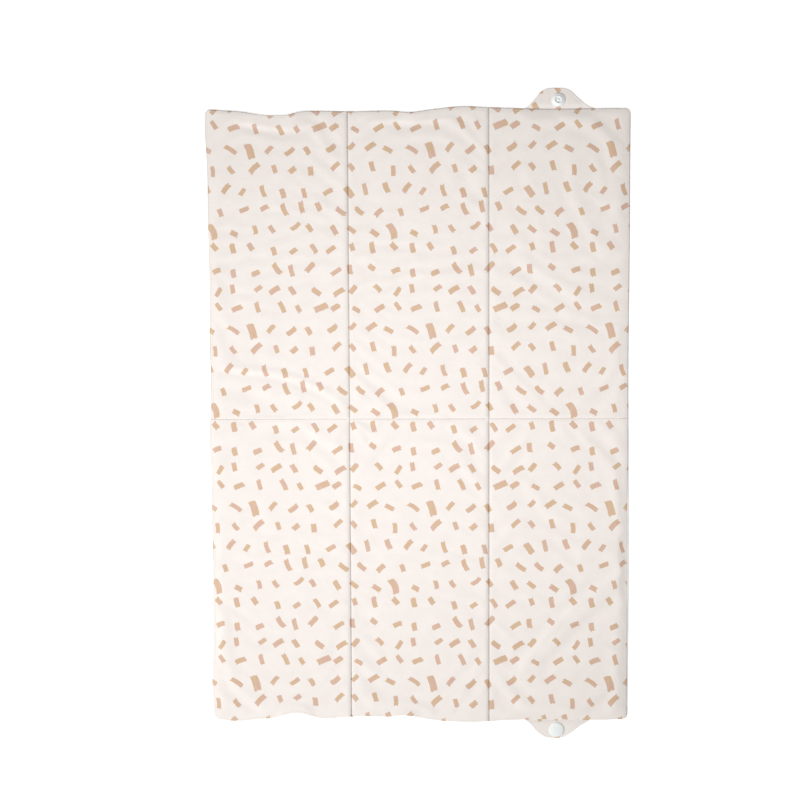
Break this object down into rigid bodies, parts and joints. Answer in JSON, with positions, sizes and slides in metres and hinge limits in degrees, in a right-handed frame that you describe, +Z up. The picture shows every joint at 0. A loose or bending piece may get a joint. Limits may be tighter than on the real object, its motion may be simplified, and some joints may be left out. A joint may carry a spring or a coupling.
{
  "type": "changing pad",
  "caption": "Folding travel changing mat: padded panels joined at sewn fold lines, printed front, plain back and two tabs with a snap.",
  "frame": {"origin": "middle of the open mat's underside, on the surface it lies on", "axes": "+X across the mat towards the column with the tabs, +Y along the mat towards the upper tab, +Z up out of the printed front"},
  "size_m": [0.41, 0.6412, 0.0045],
  "materials": {
    "printed_fabric": "coated cotton, soft satin",
    "back_fabric": "coated, matte",
    "wadding": "fluffy, matte",
    "interlining": "felted, matte",
    "thread": "spun polyester",
    "snap_plastic": "moulded, semi-gloss"
  },
  "bodies": {
    "middle_lower_panel": {"front_cover_middle_lower": "printed_fabric", "wadding_middle_lower": "wadding", "back_cover_middle_lower": "back_fabric", "edge_thread_middle_lower": "thread", "fold_thread_left_lower": "thread", "fold_thread_right_lower": "thread", "fold_thread_cross_middle": "thread"},
    "left_upper_panel": {"front_cover_left_upper": "printed_fabric", "wadding_left_upper": "wadding", "back_cover_left_upper": "back_fabric", "edge_thread_left_upper": "thread"},
    "left_lower_panel": {"front_cover_left_lower": "printed_fabric", "wadding_left_lower": "wadding", "back_cover_left_lower": "back_fabric", "edge_thread_left_lower": "thread", "fold_thread_cross_left": "thread"},
    "middle_upper_panel": {"front_cover_middle_upper": "printed_fabric", "wadding_middle_upper": "wadding", "back_cover_middle_upper": "back_fabric", "edge_thread_middle_upper": "thread", "fold_thread_left_upper": "thread", "fold_thread_right_upper": "thread"},
    "right_upper_panel": {"front_cover_right_upper": "printed_fabric", "wadding_right_upper": "wadding", "back_cover_right_upper": "back_fabric", "edge_thread_right_upper": "thread"},
    "right_lower_panel": {"front_cover_right_lower": "printed_fabric", "wadding_right_lower": "wadding", "back_cover_right_lower": "back_fabric", "edge_thread_right_lower": "thread", "fold_thread_cross_right": "thread"},
    "upper_tab": {"tab_front_ply_upper": "printed_fabric", "tab_interlining_upper": "interlining", "tab_back_ply_upper": "back_fabric", "snap_socket": "snap_plastic", "snap_cap_upper": "snap_plastic"},
    "lower_tab": {"tab_front_ply_lower": "printed_fabric", "tab_interlining_lower": "interlining", "tab_back_ply_lower": "back_fabric", "snap_stud": "snap_plastic", "snap_cap_lower": "snap_plastic"}
  },
  "joints": [
    {"name": "fold_half", "type": "hinge", "parent": "middle_lower_panel", "child": "middle_upper_panel", "pos_m": [0, 0, 0.0044], "axis": [-1, 0, 0], "range_deg": [-180, 0]},
    {"name": "fold_left", "type": "hinge", "parent": "middle_lower_panel", "child": "left_lower_panel", "pos_m": [-0.06833, 0, 0.00435], "axis": [0, 1, 0], "range_deg": [0, 180]},
    {"name": "fold_left_upper", "type": "hinge", "parent": "middle_upper_panel", "child": "left_upper_panel", "pos_m": [-0.06833, 0, 0.00435], "axis": [0, 1, 0], "range_deg": [0, 180]},
    {"name": "fold_right", "type": "hinge", "parent": "middle_lower_panel", "child": "right_lower_panel", "pos_m": [0.06833, 0, 0.0066], "axis": [0, -1, 0], "range_deg": [0, 180]},
    {"name": "fold_right_upper", "type": "hinge", "parent": "middle_upper_panel", "child": "right_upper_panel", "pos_m": [0.06833, 0, 0.0066], "axis": [0, -1, 0], "range_deg": [0, 180]},
    {"name": "bend_upper_tab", "type": "hinge", "parent": "right_upper_panel", "child": "upper_tab", "pos_m": [0.135, 0.3006, 0.0014], "axis": [1, 0, 0], "range_deg": [0, 45]},
    {"name": "bend_lower_tab", "type": "hinge", "parent": "right_lower_panel", "child": "lower_tab", "pos_m": [0.135, -0.3006, 0.0014], "axis": [-1, 0, 0], "range_deg": [0, 60]}
  ],
  "couplings": [
    {"joint": "fold_left_upper", "follows": "fold_left", "ratio": 1},
    {"joint": "fold_right_upper", "follows": "fold_right", "ratio": 1}
  ]
}
